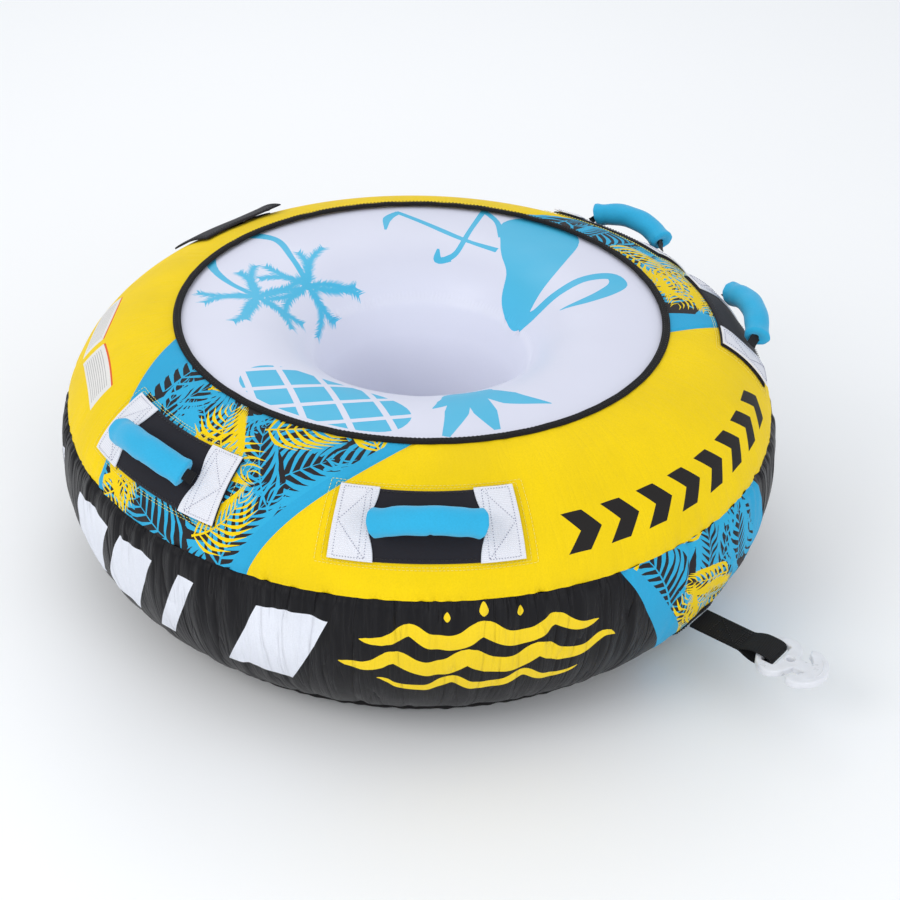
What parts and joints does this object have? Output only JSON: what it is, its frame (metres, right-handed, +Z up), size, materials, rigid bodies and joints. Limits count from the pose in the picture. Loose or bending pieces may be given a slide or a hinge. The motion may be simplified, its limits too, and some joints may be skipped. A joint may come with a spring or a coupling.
{
  "type": "towable tube",
  "caption": "Round inflatable towable deck tube with a dished deck and seat well, padded grab handles, tow strap with quick hook, valve under a flap, and zipped fabric cover.",
  "frame": {"origin": "centre of the flat bottom, on the surface the tube stands on", "axes": "+X is the tow direction, +Y the rider's left, +Z up along the seat well's axis"},
  "size_m": [1.3666, 1.1681, 0.44],
  "materials": {
    "yellow_cloth": "woven nylon, yellow, printed",
    "leaf_cloth": "woven nylon with a leaf print",
    "black_cloth": "woven nylon, black, slight sheen",
    "binding": "woven edge binding",
    "bladder_pvc": "smooth white PVC film, printed blue on the deck",
    "floor_pvc": "smooth PVC film",
    "neoprene": "nylon-faced neoprene",
    "white_webbing": "coarse woven webbing",
    "black_webbing": "coarse woven webbing",
    "grip_cloth": "tight woven nylon over foam",
    "foam": "closed-cell foam",
    "hook_plastic": "translucent natural nylon moulding",
    "valve_plastic": "moulded",
    "valve_rubber": "moulded",
    "zip_plastic": "moulded",
    "brass": "plated"
  },
  "bodies": {
    "tube": {"bladder": "bladder_pvc", "well_floor": "floor_pvc", "cover_front": "yellow_cloth", "cover_rear": "yellow_cloth", "cover_left": "leaf_cloth", "cover_right": "leaf_cloth", "tow_panel": "leaf_cloth", "side_band": "black_cloth", "bottom_skirt": "black_cloth", "bottom_cover": "black_cloth", "deck_binding": "binding", "bottom_seam_tape": "binding", "drain_grommet_1": "brass", "drain_grommet_2": "brass", "drain_grommet_3": "brass", "drain_grommet_4": "brass", "knuckle_pad_front_right": "neoprene", "handle_anchor_a_front_right": "white_webbing", "handle_anchor_b_front_right": "white_webbing", "knuckle_pad_side_right": "neoprene", "handle_anchor_a_side_right": "white_webbing", "handle_anchor_b_side_right": "white_webbing", "knuckle_pad_front_left": "neoprene", "handle_anchor_a_front_left": "white_webbing", "handle_anchor_b_front_left": "white_webbing", "knuckle_pad_side_left": "neoprene", "handle_anchor_a_side_left": "white_webbing", "handle_anchor_b_side_left": "white_webbing", "tow_anchor_patch": "black_webbing", "flap_loop_tape": "black_webbing", "zip_tape": "black_webbing", "valve_base": "valve_plastic", "valve_insert": "valve_plastic", "zip_teeth": "zip_plastic"},
    "handle_front_right": {"grip_sleeve_front_right": "grip_cloth", "grip_foam_front_right": "foam", "grip_webbing_front_right": "black_webbing"},
    "handle_side_right": {"grip_sleeve_side_right": "grip_cloth", "grip_foam_side_right": "foam", "grip_webbing_side_right": "black_webbing"},
    "handle_front_left": {"grip_sleeve_front_left": "grip_cloth", "grip_foam_front_left": "foam", "grip_webbing_front_left": "black_webbing"},
    "handle_side_left": {"grip_sleeve_side_left": "grip_cloth", "grip_foam_side_left": "foam", "grip_webbing_side_left": "black_webbing"},
    "tow_strap": {"tow_strap": "black_webbing"},
    "tow_hook": {"tow_hook": "hook_plastic"},
    "valve_flap": {"valve_flap": "neoprene", "flap_hook_tape": "black_webbing"},
    "valve_cap": {"valve_cap": "valve_plastic"},
    "valve_diaphragm": {"valve_diaphragm": "valve_rubber"},
    "zip_slider": {"zip_slider": "zip_plastic"},
    "zip_pull": {"zip_pull": "zip_plastic"}
  },
  "joints": [
    {"name": "handle_front_right_swing", "type": "hinge", "parent": "tube", "child": "handle_front_right", "pos_m": [0.3425, -0.40101, 0.38797], "axis": [0.7604, 0.6494, 0], "range_deg": [-25, 25]},
    {"name": "handle_side_right_swing", "type": "hinge", "parent": "tube", "child": "handle_side_right", "pos_m": [-0.05878, -0.52408, 0.38797], "axis": [0.9938, -0.1115, 0], "range_deg": [-25, 25]},
    {"name": "handle_front_left_swing", "type": "hinge", "parent": "tube", "child": "handle_front_left", "pos_m": [0.35966, 0.38569, 0.38797], "axis": [-0.7314, 0.682, 0], "range_deg": [-25, 25]},
    {"name": "handle_side_left_swing", "type": "hinge", "parent": "tube", "child": "handle_side_left", "pos_m": [0.04138, 0.52574, 0.38797], "axis": [-0.9969, 0.0785, 0], "range_deg": [-25, 25]},
    {"name": "tow_strap_swing", "type": "hinge", "parent": "tube", "child": "tow_strap", "pos_m": [0.5614, 0, 0.1], "axis": [0, 1, 0], "range_deg": [-40, 22]},
    {"name": "tow_hook_tilt", "type": "hinge", "parent": "tow_strap", "child": "tow_hook", "pos_m": [0.6793, 0, 0.1], "axis": [0, 1, 0], "range_deg": [-20, 20]},
    {"name": "valve_flap_lift", "type": "hinge", "parent": "tube", "child": "valve_flap", "pos_m": [-0.48479, -0.04668, 0.41228], "axis": [0.863, 0.0831, 0.4984], "range_deg": [0, 110]},
    {"name": "valve_cap_turn", "type": "hinge", "parent": "tube", "child": "valve_cap", "pos_m": [-0.48049, 0.04627, 0.40841], "axis": [-0.4881, 0.047, 0.8715], "range_deg": [0, 270]},
    {"name": "valve_diaphragm_press", "type": "slide", "parent": "tube", "child": "valve_diaphragm", "axis": [0.4881, -0.047, -0.8715], "range_m": [0, 0.003], "stiffness_N_per_m": 150},
    {"name": "zip_run", "type": "hinge", "parent": "tube", "child": "zip_slider", "pos_m": [0, 0, 0], "axis": [0, 0, 1], "range_deg": [0, 58]},
    {"name": "zip_pull_flip", "type": "hinge", "parent": "zip_slider", "child": "zip_pull", "pos_m": [-0.45702, 0.25561, 0.0465], "axis": [-0.6486, 0.3595, 0.6709], "range_deg": [0, 165]}
  ]
}
